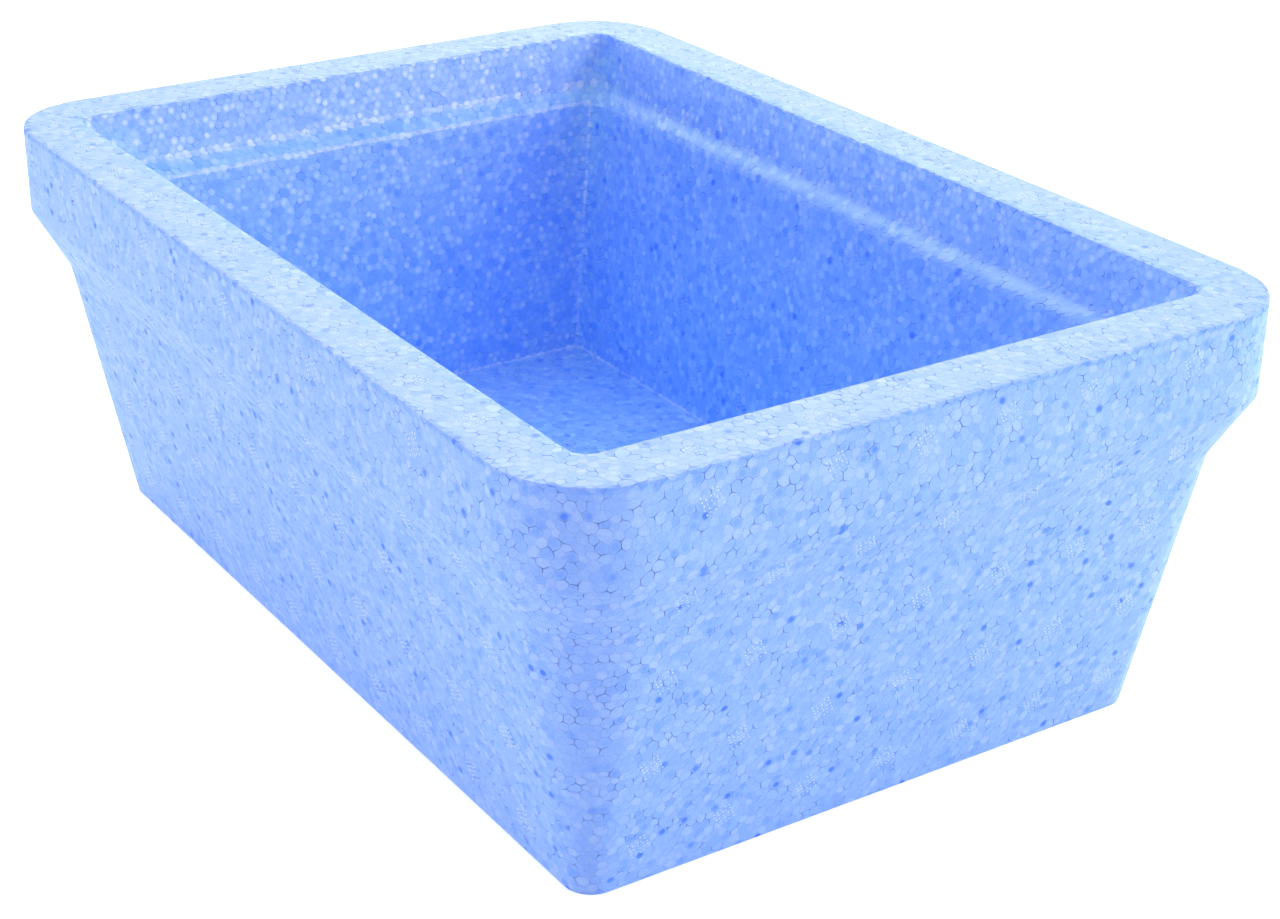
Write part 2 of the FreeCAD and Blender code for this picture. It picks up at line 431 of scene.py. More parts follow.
def apart(tree, value, level):
    """How far a value is from a level, never below zero."""
    return maths(tree, "ABSOLUTE", maths(tree, "SUBTRACT", value, level))


def scaled(tree, value, factor, start):
    """The value times a factor, plus a start."""
    return maths(tree, "MULTIPLY_ADD", value, factor, start)


def most(tree, *values):
    """The greatest of some values."""
    greatest = values[0]
    for value in values[1:]:
        greatest = maths(tree, "MAXIMUM", greatest, value)
    return greatest


def vectors(tree, operation, *values, **named):
    made = add(tree, "ShaderNodeVectorMath", {**dict(enumerate(values)), **named}, operation=operation)
    return made.outputs["Value" if operation in ("LENGTH", "DISTANCE", "DOT_PRODUCT") else "Vector"]


def stored(tree, geometry, label, value, kind="FLOAT", domain="POINT"):
    """Stores a value on the mesh under a label."""
    wires = {"Geometry": geometry, "Name": label, "Value": value}
    return geo(tree, "StoreNamedAttribute", wires, data_type=kind, domain=domain)


def recall(tree, label, kind="FLOAT"):
    return geo(tree, "InputNamedAttribute", {"Name": label}, data_type=kind)


def moved(tree, geometry, **wires):
    """Moves points to a Position or by an Offset; a Selection says which."""
    return geo(tree, "SetPosition", {"Geometry": geometry, **wires})


def new_tree(name, inputs):
    """A geometry tree with named inputs; gives the tree and its input node's sockets."""
    tree = bpy.data.node_groups.new(name, "GeometryNodeTree")
    tree.interface.new_socket("Geometry", in_out="INPUT", socket_type="NodeSocketGeometry")
    for label, kind, value in inputs:
        socket = tree.interface.new_socket(label, in_out="INPUT", socket_type="NodeSocket" + kind)
        if value is not None:
            socket.default_value = value
    tree.interface.new_socket("Geometry", in_out="OUTPUT", socket_type="NodeSocketGeometry")
    return tree, tree.nodes.new("NodeGroupInput").outputs


def end_tree(tree, geometry, material):
    """Every tree ends by making its instances real and giving them their material."""
    real = geo(tree, "RealizeInstances", {"Geometry": geometry})
    painted = geo(tree, "SetMaterial", {"Geometry": real, "Material": material})
    add(tree, "NodeGroupOutput", {0: painted})


def grown(base, tree, name, values):
    """Runs a tree on an object's mesh and shows the result as a new plain mesh."""
    maker = base.modifiers.new(tree.name, "NODES")
    maker.node_group = tree
    for socket in tree.interface.items_tree:
        if socket.in_out == "INPUT" and socket.name in values:
            maker[socket.identifier] = values[socket.name]
    bpy.context.view_layer.update()
    result = bpy.data.meshes.new_from_object(base.evaluated_get(bpy.context.evaluated_depsgraph_get()))
    base.modifiers.remove(maker)
    result.name = name
    return show(name, result)


# %% Helpers for the material
def read(tree, label):
    """A value that Geometry Nodes stored on the mesh."""
    return add(tree, "ShaderNodeAttribute", attribute_name=label).outputs["Fac"]


def eased(tree, value, low, high, first=0.0, last=1.0):
    """Goes softly from the first result to the last while the value goes from low to high."""
    return add(tree, "ShaderNodeMapRange", {"Value": value, "From Min": low, "From Max": high,
                                            "To Min": first, "To Max": last},
               interpolation_type="SMOOTHSTEP").outputs[0]


def noise(tree, place, scale, detail, roughness=0.5):
    return add(tree, "ShaderNodeTexNoise", {"Vector": place, "Scale": scale, "Detail": detail,
                                            "Roughness": roughness}).outputs["Fac"]


# %% Helpers for colours
white = (1, 1, 1, 1)


def ramp_of(tree, value, stops):
    """A colour ramp through the given places and colours."""
    made = add(tree, "ShaderNodeValToRGB", {"Fac": value})
    ends = made.color_ramp.elements
    ends[0].position, ends[0].color = stops[0][0], (*stops[0][1], 1)
    ends[1].position, ends[1].color = stops[-1][0], (*stops[-1][1], 1)
    for position, colour in stops[1:-1]:
        ends.new(position).color = (*colour, 1)
    return made.outputs["Color"]


def mixed(tree, share, below, above, blend="MIX"):
    return add(tree, "ShaderNodeMix", {0: share, 6: below, 7: above}, data_type="RGBA",
               blend_type=blend).outputs[2]


def tinted(tree, body, share, factors):
    """Multiplies a colour by the factors where the share is 1."""
    return mixed(tree, 1.0, body, mixed(tree, share, white, factors), "MULTIPLY")


# %% [markdown]
# ## Places on the pan
# Some of the finish belongs to a place, such as the shoulder, the inner corners or the inner ends.
# It could be painted on by hand, but height and distance from the middle tell the places apart too,
# and they follow when a size of the pan changes.

# %% Shares that tell a place
# A face is inside when it is nearer the middle than a plane through the foam of the walls. The
# plane's half width at the foot is in millimetres, its lean is a share of the height.
inner_half_width, inner_lean = 78.2, 0.19
corner_line_shift, flat_margin = 0.5, 0.6


def places_on_pan(tree):
    """Distances in metres and shares for the places that the finish names."""
    at = SimpleNamespace()
    at.place = add(tree, "ShaderNodeTexCoord").outputs["Object"]
    across, along, at.height = add(tree, "ShaderNodeSeparateXYZ", {0: at.place}).outputs
    across, along = maths(tree, "ABSOLUTE", across), maths(tree, "ABSOLUTE", along)
    longer = (pan_length - pan_width) / 2 * MM
    outward = most(tree, across, maths(tree, "SUBTRACT", along, longer))
    inner_wall = scaled(tree, at.height, inner_lean, inner_half_width * MM)
    at.inside = times(tree, maths(tree, "LESS_THAN", outward, inner_wall),
                      maths(tree, "GREATER_THAN", at.height, floor_thickness / 2 * MM))
    diagonal = maths(tree, "SUBTRACT", along, across)
    on_long_side = maths(tree, "LESS_THAN", diagonal, longer)
    at.inner_side = times(tree, at.inside, on_long_side)
    at.inner_end = times(tree, at.inside, maths(tree, "SUBTRACT", 1.0, on_long_side))
    at.to_corner = apart(tree, diagonal, longer)
    at.to_corner_line = apart(tree, diagonal, longer + corner_line_shift * MM)
    at.to_seat = apart(tree, at.height, seat_level * MM)
    at.to_shoulder_edge = apart(tree, at.height, shoulder_level * MM)
    at.to_shoulder = apart(tree, at.height, (seat_level + shoulder_level) / 2 * MM)
    at.to_floor = apart(tree, at.height, floor_thickness * MM)
    at.on_top = maths(tree, "GREATER_THAN", at.height, (pan_height - flat_margin) * MM)
    at.off_floor = maths(tree, "GREATER_THAN", at.height, (floor_thickness + flat_margin) * MM)
    at.on_seat = times(tree, at.inside,
                       eased(tree, at.height, (seat_level - 0.5) * MM, (seat_level + 1.5) * MM))
    return at


# %% [markdown]
# ## The colour of the beads
# Each bead has a tint from 0 to 1. Most are the same pale blue, those below 0.3 a little deeper,
# those above 0.7 paler, and one or two in a hundred a strong blue. The difference shows in the
# middle of a bead and fades towards its joints. Fine clouds and grain lie over all of them, from the
# cells inside the foam. A bead's lot is a second number, shuffled from its tint.

# %% Bead colours
edge_colours = ((0.0, (0.30, 0.52, 0.985)), (0.16, (0.31, 0.53, 0.985)), (0.30, (0.33, 0.545, 0.99)),
                (0.70, (0.35, 0.565, 0.99)), (1.0, (0.40, 0.605, 0.995)))
middle_colours = ((0.0, (0.08, 0.24, 0.95)), (0.014, (0.10, 0.28, 0.96)), (0.022, (0.21, 0.42, 0.975)),
                  (0.16, (0.285, 0.505, 0.98)), (0.30, (0.325, 0.54, 0.99)), (0.70, (0.355, 0.57, 0.99)),
                  (1.0, (0.44, 0.635, 0.995)))
cloud_scale, grain_scale = 480.0, 1900.0
lot_shuffle = 37.0
cloud_dark, cloud_light = (0.74, 0.83, 1.0, 1), (1.26, 1.17, 1.0, 1)
grain_dark, grain_light = (0.74, 0.82, 1.0, 1), (1.28, 1.18, 1.0, 1)


def bead_colour(tree, at):
    """The plain colour of the foam; what later cells need again is kept with the places."""
    middle = add(tree, "ShaderNodeAttribute", attribute_name="middle").outputs["Vector"]
    at.from_middle = vectors(tree, "DISTANCE", at.place, middle)
    at.loose = read(tree, "loose")
    tint = read(tree, "bead_tint")
    in_middle = times(tree, eased(tree, at.from_middle, 0.0005, 0.0014, 1.0, 0.0),
                      scaled(tree, at.loose, -0.8, 1.0))
    body = mixed(tree, in_middle, ramp_of(tree, tint, edge_colours), ramp_of(tree, tint, middle_colours))
    at.cloud = noise(tree, at.place, cloud_scale, 4.0, 0.65)
    at.grain = noise(tree, at.place, grain_scale, 3.0)
    body = mixed(tree, 1.0, body, mixed(tree, at.cloud, cloud_dark, cloud_light), "MULTIPLY")
    body = mixed(tree, 1.0, body, mixed(tree, at.grain, grain_dark, grain_light), "MULTIPLY")
    at.lot = maths(tree, "FRACT", times(tree, tint, lot_shuffle))
    return body


# %% [markdown]
# ## Tones and painted light that go with a place
# The shoulder has a painted highlight, a pale streak, on the long sides and a painted sheen, a clearer
# blue strip, on the ends.
# The inner corners get painted light, raised a little where light goes back and forth between the walls.
# The inner faces differ more from bead to bead. Low in the well painted shade makes the foam a deeper
# blue, and the narrow line just under the rim's edge is a deeper blue too. Distances in these cells are in
# metres.

# %% Tones and painted light by place
painted_shoulder_highlight, painted_end_shoulder_sheen = (0.66, 0.91, 1.0, 1), (0.28, 0.62, 1.0, 1)
painted_corner_light, painted_low_shade, under_rim_blue = (1.16, 1.18, 1.0, 1), (0.81, 0.95, 1.0, 1), (0.66, 0.80, 1.0, 1)
own_dark, own_light = (0.80, 0.88, 1.0, 1), (1.18, 1.11, 1.0, 1)
rim_edge_drop = 1.2


def tones_and_painted_light(tree, at, body):
    # Painted highlight: a pale streak along the middle of the shoulder on the long sides.
    sheen = times(tree, eased(tree, at.to_shoulder, 0.0, 0.0022, 0.56, 0.0), at.inner_side,
                  eased(tree, at.to_corner, 0.0, 0.060, 0.10, 1.0))
    body = mixed(tree, sheen, body, painted_shoulder_highlight)
    # Painted light: the inner corners are made lighter in place of light going back and forth between the
    # walls.
    lifted = times(tree, at.inside, eased(tree, at.to_corner, 0.001, 0.022, 1.0, 0.0),
                   eased(tree, at.height, 0.060, 0.105), eased(tree, at.height, 0.119, 0.124, 1.0, 0.0))
    body = tinted(tree, body, lifted, painted_corner_light)
    # Painted sheen: the end shoulders get a clearer blue.
    strip = times(tree, eased(tree, at.to_shoulder, 0.0018, 0.0024, 0.30, 0.0), at.inner_end)
    body = mixed(tree, strip, body, painted_end_shoulder_sheen)
    body = tinted(tree, body, at.inside, mixed(tree, at.lot, own_dark, own_light))
    # Painted shade: the foam is tinted a deeper blue low in the well.
    low = times(tree, at.inside, eased(tree, at.height, 0.030, 0.100, 1.0, 0.0))
    body = tinted(tree, body, low, painted_low_shade)
    to_rim_edge = apart(tree, at.height, (pan_height - rim_edge_drop) * MM)
    under_rim = times(tree, eased(tree, to_rim_edge, 0.0004, 0.0011, 0.8, 0.0),
                      eased(tree, at.lot, 0.0, 0.6, 1.0, 0.35))
    return tinted(tree, body, under_rim, under_rim_blue)


# %% [markdown]
# ## Painted glint lines
# Where two inner faces meet, painted highlights give the skin a thin white glint line: along the shoulder,
# round the floor, up the corners, and in spots along the lid seat. Strips of mesh could make them, but a
# distance lets them fade, and the clouds break them up. The skin there is also glossier than the rest, so
# their share is kept for the roughness too.

# %% Painted glint lines
satin_white = (0.88, 0.93, 1.0, 1)


def satin_lines(tree, at, body):
    flecks = noise(tree, at.place, 330.0, 1.0)
    up_corner = times(tree, eased(tree, at.to_corner_line, 0.0001, 0.0013, 1.0, 0.0),
                      eased(tree, flecks, 0.40, 0.58, 0.15, 1.0),
                      eased(tree, at.height, 0.040, 0.085, 0.3, 1.0))
    on_shoulder = eased(tree, at.to_shoulder_edge, 0.0002, 0.0010, 1.0, 0.0)
    round_floor = eased(tree, at.to_floor, 0.0002, 0.0016, 0.8, 0.0)
    seat_spots = times(tree, eased(tree, at.to_seat, 0.0005, 0.0022, 0.9, 0.0),
                       eased(tree, at.lot, 0.1, 0.8, 0.22, 1.0))
    line = most(tree, on_shoulder, round_floor, up_corner, seat_spots)
    at.satin = times(tree, line, read(tree, "glazed"))
    broken = eased(tree, at.cloud, 0.38, 0.62, 0.35, 1.0)
    # Painted highlight: the glint lines are mixed towards white.
    return mixed(tree, times(tree, at.satin, broken), body, satin_white)


# %% [markdown]
# ## Painted sheen and highlights on soft beads
# On the inner ends the beads are round, and painted highlights make them catch the light as white spots,
# mostly near the lid seat.
# The seat has a thin veil of painted sheen in white as well, and the rim's top a thinner one. The rim's
# top is also a touch less green, painted light for its brighter top, and the inner long sides a touch less
# red, painted shade.

# %% Painted sheen and highlights on soft beads
painted_sheen_white, painted_spot_highlight = (0.76, 0.86, 1.0, 1), (0.84, 0.89, 1.0, 1)
top_light_tone, inner_side_shade_tone = (0.985, 0.955, 1.0, 1), (0.92, 0.995, 1.0, 1)


def painted_sheen_and_highlights(tree, at, body):
    at.softness = times(tree, at.loose, maths(tree, "SUBTRACT", 1.0, at.on_top))
    # Painted sheen: a thin white veil on the seat and a thinner one on the rim's top.
    veil = times(tree, at.on_seat, at.softness, eased(tree, at.cloud, 0.3, 0.7, 0.10, 0.30))
    veil = scaled(tree, at.on_top, 0.08, veil)
    # Painted light on the rim's top and painted shade on the inner long sides.
    body = tinted(tree, tinted(tree, body, at.on_top, top_light_tone), at.inner_side, inner_side_shade_tone)
    body = mixed(tree, veil, body, painted_sheen_white)
    # Painted highlights: white spots in the middle of round beads.
    dome = times(tree, at.softness, at.off_floor, eased(tree, at.from_middle, 0.0002, 0.0014, 1.0, 0.0))
    near_seat = eased(tree, at.to_seat, 0.001, 0.006, 0.35, 0.0)
    spark = times(tree, eased(tree, at.lot, 0.80, 0.96), maths(tree, "ADD", near_seat, 0.50))
    spark = scaled(tree, maths(tree, "POWER", at.lot, 1.6), 0.60, spark)
    spark = times(tree, spark, scaled(tree, at.on_seat, 0.4, 0.6))
    return mixed(tree, times(tree, dome, spark), body, painted_spot_highlight)


# %% [markdown]
# ## Joints and pits
# The mesh has real joints, but they are so narrow that shade alone hardly shows them, so they get a
# dull mauve of their own. It is clearer in some patches than in others, and faint on the inner faces
# and the rim's top. Where three beads don't quite meet, the open pit is a real hollow, and painted shade
# makes it almost black.

# %% Joints and pits
joint_mauve, painted_pit_shade = (0.28, 0.255, 0.51, 1), (0.02, 0.03, 0.14, 1)


def joints_and_pits(tree, at, body):
    patchy = noise(tree, at.place, 140.0, 2.0)
    faint = most(tree, at.inside, at.on_top)
    tight = times(tree, scaled(tree, at.loose, -0.85, 0.85), eased(tree, patchy, 0.35, 0.62, 0.45, 1.0),
                  scaled(tree, faint, -0.75, 1.0))
    joint = times(tree, read(tree, "joint"), most(tree, tight, 0.0))
    body = mixed(tree, joint, body, joint_mauve)
    # Painted shade: the open pits are near black.
    return mixed(tree, eased(tree, read(tree, "pit"), 0.70, 0.90), body, painted_pit_shade)


# %% [markdown]
# ## The whole finish
# Fused foam is matt to semi-gloss. Its finish follows the skin through values that Geometry Nodes store
# on the mesh, so the pattern can't slide. The grains of the vent prints are the same foam, paler.

# %% The bead foam material
grain_white = (0.80, 0.91, 1.0, 1)


def bead_foam(name, paler=0.0):
    foam = bpy.data.materials.new(name)
    foam.use_nodes = True
    tree = foam.node_tree
    shader = tree.nodes["Principled BSDF"].inputs
    at = places_on_pan(tree)
    body = tones_and_painted_light(tree, at, bead_colour(tree, at))
    body = painted_sheen_and_highlights(tree, at, satin_lines(tree, at, body))
    body = joints_and_pits(tree, at, body)
    if paler:
        strength = times(tree, scaled(tree, read(tree, "paleness"), 0.5, paler),
                         scaled(tree, at.inside, -0.55, 1.0))
        body = mixed(tree, strength, body, grain_white)
    tree.links.new(body, shader["Base Color"])
    shader["Specular IOR Level"].default_value = 0.3
    matt = scaled(tree, at.cloud, 0.25, 0.42)
    gloss = most(tree, at.satin, times(tree, at.softness, 0.6))
    roughness = most(tree, scaled(tree, gloss, -0.3, matt), 0.2)
    tree.links.new(roughness, shader["Roughness"])
    bump = add(tree, "ShaderNodeBump", {"Height": at.grain, "Strength": 0.25, "Distance": 0.00012})
    tree.links.new(bump.outputs["Normal"], shader["Normal"])
    return foam


foam_skin = bead_foam("bead_foam_skin")
foam_print = bead_foam("bead_foam_print", paler=0.5)
print("nodes in the foam material:", len(foam_skin.node_tree.nodes))

# %% [markdown]
# ## The tree that grows the bead skin
# Dual Mesh turns the net into one flat patch for each bead. The patches are welded along the
# pan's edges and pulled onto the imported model, so they follow its fillets too. A bead's middle on an
# edge of the pan stays up, which leaves the fine scallops that the rim shows. The tree's lengths are
# in metres.

# %% Bead skin tree: patches on the model
skin_tree, given = new_tree("bead skin", [
    ("Pan", "Object", None), ("Joint width", "Float", 0.00006), ("Joint depth", "Float", 0.000035),
    ("Round width", "Float", 0.00016), ("Round depth", "Float", 0.00003),
    ("Pit share", "Float", 0.25), ("Pit width", "Float", 0.00013), ("Pit depth", "Float", 0.00035),
    ("Skin drop", "Float", 0.00012), ("Bead pitch", "Float", 0.00285), ("Seed", "Int", 5),
    ("Material", "Material", None)])
tree = skin_tree
here = geo(tree, "InputPosition")
facing = geo(tree, "InputNormal")
dual = geo(tree, "DualMesh", {0: given["Geometry"], 1: True})
welded = geo(tree, "MergeByDistance", {"Geometry": dual, "Distance": 1e-6})
to_middle = geo(tree, "Proximity", {"Geometry": given["Geometry"], "Sample Position": here}, "Distance",
                target_element="POINTS")
quarter_bead = times(tree, given["Bead pitch"], 0.25)
at_joint = add(tree, "ShaderNodeMapRange", {"Value": to_middle, "From Max": quarter_bead}).outputs[0]
skin = stored(tree, welded, "joint", at_joint)
model = geo(tree, "ObjectInfo", {"Object": given["Pan"]}, "Geometry", transform_space="RELATIVE")
on_model = geo(tree, "Proximity", {"Geometry": model, "Sample Position": here}, "Position",
               target_element="FACES")
skin = moved(tree, skin, Position=on_model)
skin = stored(tree, skin, "out", facing, "FLOAT_VECTOR")

# %% [markdown]
# ## Tint, middle and pits of each bead
# Each bead draws a tint by its own number, so the halves of a bead on an edge agree. A quarter of
# the corners between beads draw a pit, from hardly open to full, shallower between round beads.

# %% Bead skin tree: draws
tint = add(tree, "FunctionNodeRandomValue", {"ID": recall(tree, "bead", "INT"), "Seed": given["Seed"]},
           data_type="FLOAT").outputs[1]
skin = stored(tree, skin, "bead_tint", tint, "FLOAT", "FACE")
skin = stored(tree, skin, "middle", here, "FLOAT_VECTOR", "FACE")
luck = add(tree, "FunctionNodeRandomValue", {"Seed": given["Seed"]}, data_type="FLOAT").outputs[1]
no_pit = maths(tree, "SUBTRACT", 1.0, given["Pit share"])
pit = maths(tree, "DIVIDE", maths(tree, "SUBTRACT", luck, no_pit), given["Pit share"])
roundness = recall(tree, "loose")
pit = times(tree, most(tree, pit, 0.0), scaled(tree, roundness, -0.3, 1.0))
pit = times(tree, pit, recall(tree, "joint"))
skin = stored(tree, skin, "pit", pit)

# %% [markdown]
# ## Sunk joints
# Each patch gets a slightly smaller face, and what is left round it sinks by a hair: that is the
# joint. It is wider at round beads and deeper in a pit. At last the whole skin goes down by about a
# tenth of a millimetre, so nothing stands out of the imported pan.

# %% Bead skin tree: joints
raised = add(tree, "GeometryNodeExtrudeMesh", {"Mesh": skin, "Offset Scale": 0.0, "Individual": True},
             mode="FACES")
top = raised.outputs["Top"]
below = add(tree, "FunctionNodeBooleanMath", {0: top}, operation="NOT").outputs[0]
is_pit = recall(tree, "pit")
to_middle = vectors(tree, "SUBTRACT", recall(tree, "middle", "FLOAT_VECTOR"), here)
width = scaled(tree, roundness, given["Round width"], given["Joint width"])
width = scaled(tree, is_pit, given["Pit width"], width)
shrink = vectors(tree, "SCALE", vectors(tree, "NORMALIZE", to_middle), Scale=width)
skin = moved(tree, raised.outputs["Mesh"], Selection=top, Offset=shrink)
out = recall(tree, "out", "FLOAT_VECTOR")
depth = scaled(tree, roundness, given["Round depth"], given["Joint depth"])
depth = times(tree, recall(tree, "joint"), depth)
depth = scaled(tree, is_pit, given["Pit depth"], depth)
for where, fall in ((below, depth), (True, given["Skin drop"])):
    down = vectors(tree, "SCALE", out, Scale=times(tree, fall, -1.0))
    skin = moved(tree, skin, Selection=where, Offset=down)
for label in ("joint", "pit"):
    skin = stored(tree, skin, label, times(tree, recall(tree, label), below))
flat_top = times(tree, top, maths(tree, "LESS_THAN", roundness, 0.5))
skin = geo(tree, "SetShadeSmooth", {"Geometry": skin, "Selection": flat_top, "Shade Smooth": False})
end_tree(tree, skin, given["Material"])

# %% Grow the skin
whole_skin = grown(bead_net, skin_tree, "whole_skin", {"Pan": pan, "Material": foam_skin})
print("bead skin:", len(whole_skin.data.polygons), "faces")

# %% [markdown]
# ## Six panels
# One skin of all the beads is too heavy for a single part file, so it is cut where the pan's own
# edges run: underside, outer wall, rim band, rim top with its lid seat, well wall and floor. The cuts
# lie in the joints of the edges, so nothing opens between two panels.

# %% Cut the skin into panels
cut_tree, given = new_tree("one panel", [("Panel", "Int", 0), ("Material", "Material", None)])
same = add(cut_tree, "FunctionNodeCompare", {2: recall(cut_tree, "panel", "INT"), 3: given["Panel"]},
           data_type="INT", operation="EQUAL").outputs[0]
part = geo(cut_tree, "SeparateGeometry", {"Geometry": given["Geometry"], "Selection": same}, domain="FACE")
end_tree(cut_tree, part, given["Material"])

panels = []
for panel, name in enumerate(("underside_beads", "outer_wall_beads", "rim_band_beads",
                              "rim_top_beads", "well_wall_beads", "well_floor_beads")):
    piece = grown(whole_skin, cut_tree, name, {"Panel": panel, "Material": foam_skin})
    panels.append(piece)
    count = sum(len(f.vertices) - 2 for f in piece.data.polygons)
    print(f"{name:18} {len(piece.data.polygons)} faces, {count} triangles")
for spent in (whole_skin, bead_net):
    bpy.data.objects.remove(spent)


# %% [markdown]
# ## The vent prints
# Steam enters a bead mould through small round vents. Each is a plug with a few dozen fine holes,
# and the soft skin swells into them, which leaves a round patch of pale grains about 7 mm across.
# The photograph shows them in straight rows, about 26 mm apart, so their centres are worked out
# wall by wall, and a second tree sets one print on each.

# %% Vent centres
SIDES = ((1, 0), (0, 1), (-1, 0), (0, -1))
OUTER, INNER = "outer_vent_prints", "inner_vent_prints"
vent_spots = {OUTER: [], INNER: []}
vent_pitch, end_vent_pitch, vent_clearance = 26.4, 26.0, 5.0


def row_of(count, pitch):
    """That many places, a pitch apart, about the middle."""
    return [(k - (count - 1) / 2) * pitch for k in range(count)]


def vents_on_wall(group, low, high, step, on_sides, on_ends):
    """One row of vents, at a share of the way from one outline to the next."""
    near, far = OUTLINES[low], OUTLINES[high]
    line = near + (far - near) * step
    for x, y in SIDES:
        half = 0 if x else 1
        outward, right = Vector((x, y, 0)), Vector((-y, x, 0))
        run = outward * (far[half] - near[half]) + Vector((0, 0, far[3] - near[3]))
        for place in (on_sides if x else on_ends):
            spot = outward * line[half] + right * place + Vector((0, 0, line[3]))
            vent_spots[group].append((spot * MM, right.cross(run).normalized(), right))


def vents_on_flat(group, level, facing, columns, rows, clear):
    """Columns and rows of vents on a flat face, where they are clear of its edges."""
    for x in row_of(columns, vent_pitch):
        for y in row_of(rows, vent_pitch):
            if clear(np.array([[x, y]]))[0] > vent_clearance:
                spot = Vector((x, y, level)) * MM
                vent_spots[group].append((spot, Vector((0, 0, facing)), Vector((0, 1, 0))))


# %% The rows of vents
on_long_wall, on_short_wall = row_of(10, vent_pitch), row_of(7, end_vent_pitch)
sparse_long, sparse_short = row_of(5, 2 * vent_pitch), (-75.0, -39.6, -13.2, 13.2, 39.6, 75.0)
for step in (0.158, 0.474, 0.80):
    vents_on_wall(OUTER, "foot", "neck", step, on_long_wall, on_short_wall)
vents_on_wall(OUTER, "neck", "band", 0.5, on_long_wall, on_short_wall)
vents_on_wall(OUTER, "band", "rim", 0.66, sparse_long, sparse_short)
vents_on_wall(INNER, "rim", "mouth", 0.45, on_long_wall, sparse_short)
vents_on_wall(INNER, "mouth", "seat", 0.53, on_long_wall, ())
for row, step in enumerate((0.116, 0.354, 0.599, 0.835)):
    vents_on_wall(INNER, "shoulder", "floor", step, row_of(10 - row % 2, vent_pitch), ())
vents_on_flat(INNER, floor_thickness, 1, 5, 9, lambda p: depth_inside(p, "floor"))
vents_on_flat(OUTER, 0.0, -1, 6, 10, lambda p: np.minimum(depth_inside(p, "foot"), clear_of_marks(p)))
print({group: len(spots) for group, spots in vent_spots.items()})

# %% [markdown]
# ## The tree that makes a print
# A print is a square grid of points, cut round and turned a little, with a low blunt cone on each.
# The whole print is set on every vent and turned to face out of its wall. Modelling each print would
# give the same, but instances keep all of them alike and easy to change.

# %% Vent print tree
print_tree, given = new_tree("vent print", [
    ("Print radius", "Float", 0.0036), ("Grain pitch", "Float", 0.00124),
    ("Grain stray", "Float", 0.00025), ("Grain radius", "Float", 0.00036),
    ("Grain height", "Float", 0.00012), ("Seed", "Int", 3), ("Material", "Material", None)])
tree = print_tree
grain_rows = 9
print_turn = math.radians(24)


def drawn(tree, low, high):
    """A random vector between two others, for each point."""
    return add(tree, "FunctionNodeRandomValue", {0: low, 1: high, "Seed": given["Seed"]},
               data_type="FLOAT_VECTOR").outputs[0]


here = geo(tree, "InputPosition")
across = times(tree, given["Grain pitch"], float(grain_rows - 1))
field = geo(tree, "MeshGrid", {"Size X": across, "Size Y": across, "Vertices X": grain_rows,
                               "Vertices Y": grain_rows})
outside = maths(tree, "GREATER_THAN", vectors(tree, "LENGTH", here), given["Print radius"])
field = geo(tree, "DeleteGeometry", {"Geometry": field, "Selection": outside}, domain="POINT")
field = geo(tree, "Transform", {"Geometry": field, "Rotation": (0.0, 0.0, print_turn)})
astray = drawn(tree, (-1.0, -1.0, 0.0), (1.0, 1.0, 0.0))
field = moved(tree, field, Offset=vectors(tree, "SCALE", astray, Scale=given["Grain stray"]))
half_radius = times(tree, given["Grain radius"], 0.5)
cone = add(tree, "GeometryNodeMeshCone", {
    "Vertices": 6, "Radius Bottom": given["Grain radius"], "Radius Top": half_radius,
    "Depth": given["Grain height"]}).outputs
grain = geo(tree, "DeleteGeometry", {"Geometry": cone["Mesh"], "Selection": cone["Bottom"]}, domain="FACE")
grains = geo(tree, "InstanceOnPoints", {
    "Points": field, "Instance": grain, "Rotation": drawn(tree, (0.0, 0.0, -0.9), (0.0, 0.0, 0.9)),
    "Scale": drawn(tree, (0.6, 0.7, 1.0), (1.0, 1.15, 1.0))})
paleness = add(tree, "FunctionNodeRandomValue", {"Seed": given["Seed"]}, data_type="FLOAT").outputs[1]
grains = stored(tree, grains, "paleness", paleness, "FLOAT", "INSTANCE")
turned = add(tree, "FunctionNodeAxesToRotation", {0: recall(tree, "facing", "FLOAT_VECTOR"),
                                                  1: recall(tree, "right", "FLOAT_VECTOR")},
             primary_axis="Z", secondary_axis="X").outputs[0]
prints = geo(tree, "InstanceOnPoints",
             {"Points": given["Geometry"], "Instance": grains, "Rotation": turned})
end_tree(tree, prints, given["Material"])

# %% Set a print on each vent
print_sink = 0.12 * MM
for group, spots in vent_spots.items():
    centres = bpy.data.meshes.new(group + "_centres")
    centres.from_pydata([list(spot - facing * print_sink) for spot, facing, _ in spots], [], [])
    for label, column in (("facing", 1), ("right", 2)):
        centres.attributes.new(label, "FLOAT_VECTOR", "POINT").data.foreach_set(
            "vector", np.array([s[column] for s in spots]).ravel())
    base = show(group + "_centres", centres)
    piece = grown(base, print_tree, group, {"Material": foam_print})
    bpy.data.objects.remove(base)
    panels.append(piece)
    print(group, len(piece.data.polygons), "faces")

# %% [markdown]
# ## The pieces go to the imported pan
# Every panel rides on the pan's one body and takes the place of its one node, which is hidden.

# %% Tie the pieces to the pan
for piece in panels:
    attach(piece, "root")
    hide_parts("pan_body")
print(len(panels), "pieces on the pan")

# %% [markdown]
# ## Paper, light and camera
# The photograph is a studio shot on white, with soft light all round. White paper, a sky that is
# brighter overhead and dimmer on the viewer's side, and three lamps give that: a low wide card on
# the left, a lamp on the right and one behind. Paper and sky look plain white to the camera, which
# stands where the pan's outline puts it, left of the near corner and 25 degrees above the rim.

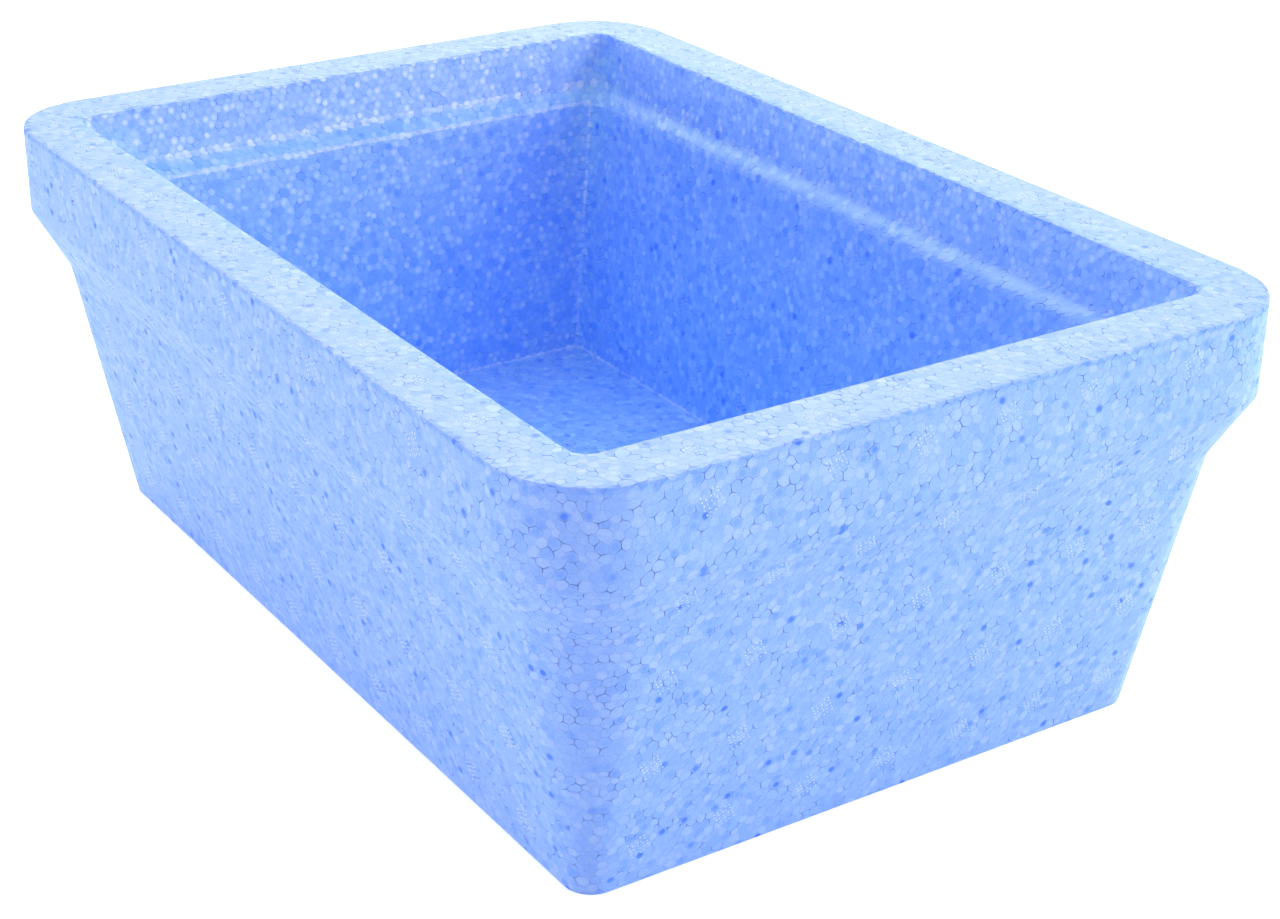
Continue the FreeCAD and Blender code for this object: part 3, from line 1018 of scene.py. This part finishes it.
# %% White paper
floor_mesh = bpy.data.meshes.new("studio_floor")
floor_reach = 3.0
paper_glow = 0.60
floor_corners = [(x * floor_reach, y * floor_reach, 0) for x, y in ((-1, -1), (1, -1), (1, 1), (-1, 1))]
floor_mesh.from_pydata(floor_corners, [], [(0, 1, 2, 3)])
floor = show("studio_floor", floor_mesh)
paper = bpy.data.materials.new("studio_paper")
paper.use_nodes = True
tree = paper.node_tree
paper_shader = tree.nodes["Principled BSDF"]
paper_look = {"Base Color": (0.93, 0.93, 0.93, 1), "Roughness": 0.9, "Specular IOR Level": 0.1}
for label, value in paper_look.items():
    paper_shader.inputs[label].default_value = value


def seen_ray(tree):
    """A share of 1 for what the camera sees, straight or in a gloss."""
    path = add(tree, "ShaderNodeLightPath").outputs
    return most(tree, path["Is Camera Ray"], path["Is Glossy Ray"], path["Is Transmission Ray"])


glow_level = times(tree, seen_ray(tree), paper_glow)
glow = add(tree, "ShaderNodeEmission", {"Color": white, "Strength": glow_level})
both = add(tree, "ShaderNodeAddShader", {0: paper_shader.outputs[0], 1: glow.outputs[0]})
tree.links.new(both.outputs[0], tree.nodes["Material Output"].inputs["Surface"])
floor_mesh.materials.append(paper)

# %% Sky
toward_viewer = (-0.42, -0.91, 0.0)
sky_base, sky_dimming, sky_overhead, overhead_from = 0.68, -0.66, 0.85, 0.6
sky_colour = (0.93, 0.99, 1.26, 1)
world = bpy.data.worlds.new("studio_world")
bpy.context.scene.world = world
world.use_nodes = True
sky = world.node_tree
sky.nodes.clear()
aim = add(sky, "ShaderNodeTexCoord").outputs["Generated"]
viewer_side = most(sky, vectors(sky, "DOT_PRODUCT", aim, toward_viewer), 0.0)
sky_level = scaled(sky, maths(sky, "POWER", viewer_side, 2.0), sky_dimming, sky_base)
overhead = maths(sky, "SUBTRACT", add(sky, "ShaderNodeSeparateXYZ", {0: aim}).outputs["Z"], overhead_from)
sky_level = scaled(sky, most(sky, overhead, 0.0), sky_overhead, sky_level)
lit = add(sky, "ShaderNodeBackground", {"Color": sky_colour, "Strength": sky_level})
shown = add(sky, "ShaderNodeBackground", {"Color": white, "Strength": 1.0})
either = add(sky, "ShaderNodeMixShader", {0: seen_ray(sky), 1: lit.outputs[0], 2: shown.outputs[0]})
add(sky, "ShaderNodeOutputWorld", {0: either.outputs[0]})


# %% Lamps
def round_pan(azimuth, height, distance):
    """A place round the pan: bearing from +X towards +Y and height above the floor, both in degrees."""
    turn, rise = math.radians(azimuth), math.radians(height)
    out, up = distance * math.cos(rise), distance * math.sin(rise)
    return Vector((out * math.cos(turn), out * math.sin(turn), up))


def lamp(name, spot, aimed_at, wide, tall, watts, green):
    """An area lamp; its light is bluish, and how green it is goes lamp by lamp."""
    light = bpy.data.lights.new(name, "AREA")
    light.shape, light.size, light.size_y, light.energy = "RECTANGLE", wide, tall, watts
    light.color = (0.95, green, 1.14)
    made = bpy.data.objects.new(name, light)
    made.location = spot
    made.rotation_euler = (Vector((0, 0, aimed_at)) - spot).to_track_quat("-Z", "Y").to_euler()
    bpy.context.scene.collection.objects.link(made)


lamp("left_card", round_pan(158, 5, 2.0), aimed_at=0.07, wide=1.8, tall=0.28, watts=12.2, green=0.89)
lamp("right_lamp", round_pan(315, 25, 1.5), aimed_at=0.08, wide=0.9, tall=0.9, watts=11.9, green=0.96)
lamp("back_lamp", round_pan(57, 42, 1.6), aimed_at=0.08, wide=1.0, tall=1.0, watts=15.4, green=0.86)

# %% Camera
camera_spot = (-0.3640327, -0.5705189, 0.3601960)
right = Vector((0.83803786, -0.54553884, 0.00894019))
down = Vector((-0.22523539, -0.36083019, -0.90502519))
ahead = Vector((0.49695228, 0.75643172, -0.42526401))
camera_data = bpy.data.cameras.new("camera")
camera_data.sensor_width, camera_data.lens = 36.0, 69.048
camera_data.shift_x, camera_data.shift_y = 0.01466, 0.00086
camera_data.clip_start, camera_data.clip_end = 0.01, 20.0
camera = bpy.data.objects.new("camera", camera_data)
camera_turn = Matrix((right, -down, -ahead)).transposed().to_4x4()
camera.matrix_world = Matrix.Translation(camera_spot) @ camera_turn
bpy.context.scene.collection.objects.link(camera)
bpy.context.scene.camera = camera
bpy.context.scene.view_settings.view_transform = "Standard"
print("camera at", camera_spot, "m, lens", camera_data.lens, "mm")
